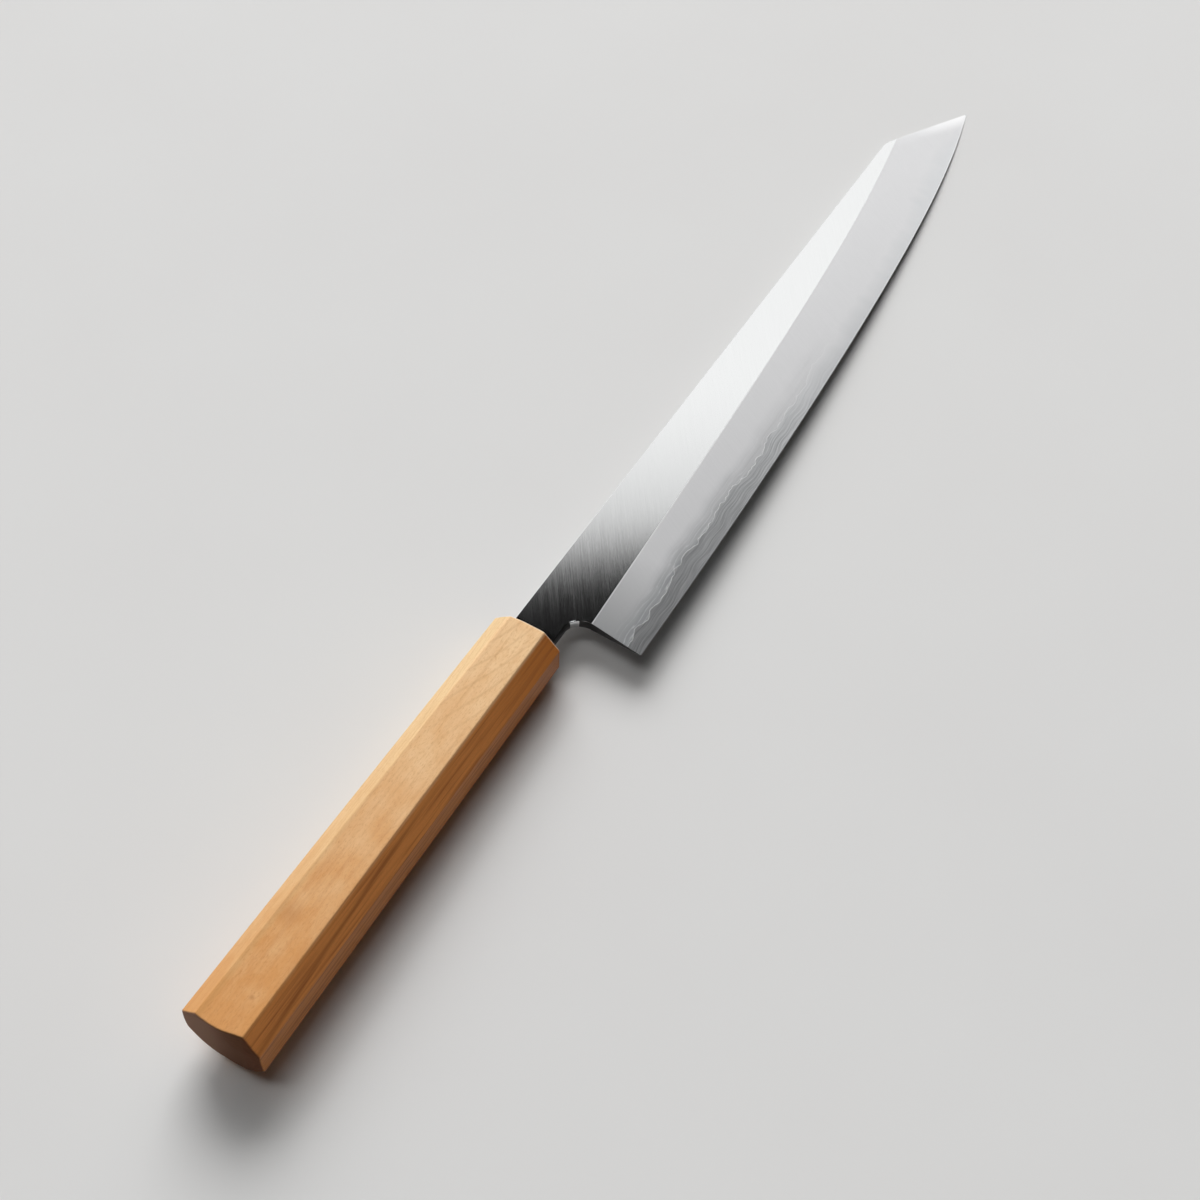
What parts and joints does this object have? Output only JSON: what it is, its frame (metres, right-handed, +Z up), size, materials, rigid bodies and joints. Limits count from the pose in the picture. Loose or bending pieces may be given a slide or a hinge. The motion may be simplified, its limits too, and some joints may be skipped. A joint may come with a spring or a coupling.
{
  "type": "kitchen knife",
  "caption": "Long slicing knife with a clipped tip: laminated blade with a flat, a wide bevel and a wavering weld line, and a plain tapered octagonal wooden handle.",
  "frame": {"origin": "on the table, below the middle of the bounding box, with the knife resting on the handle's lower front rim and its tip", "axes": "+X along the knife from the butt to the tip, +Y from the cutting edge to the spine, +Z up, out of the right face"},
  "size_m": [0.4332, 0.0436, 0.0249],
  "materials": {
    "core_steel": "hard core steel, ground and stoned, darker than the cladding",
    "cladding_steel": "soft cladding steel, brushed flat and hazy stone-polished bevel",
    "handle_wood": "fine-grained light brown hardwood, oiled satin",
    "bedding_resin": "cast resin, hidden in the handle"
  },
  "bodies": {
    "root": {"core_steel": "core_steel", "cladding_right": "cladding_steel", "cladding_left": "cladding_steel", "handle": "handle_wood", "tang_resin": "bedding_resin"}
  },
  "joints": []
}
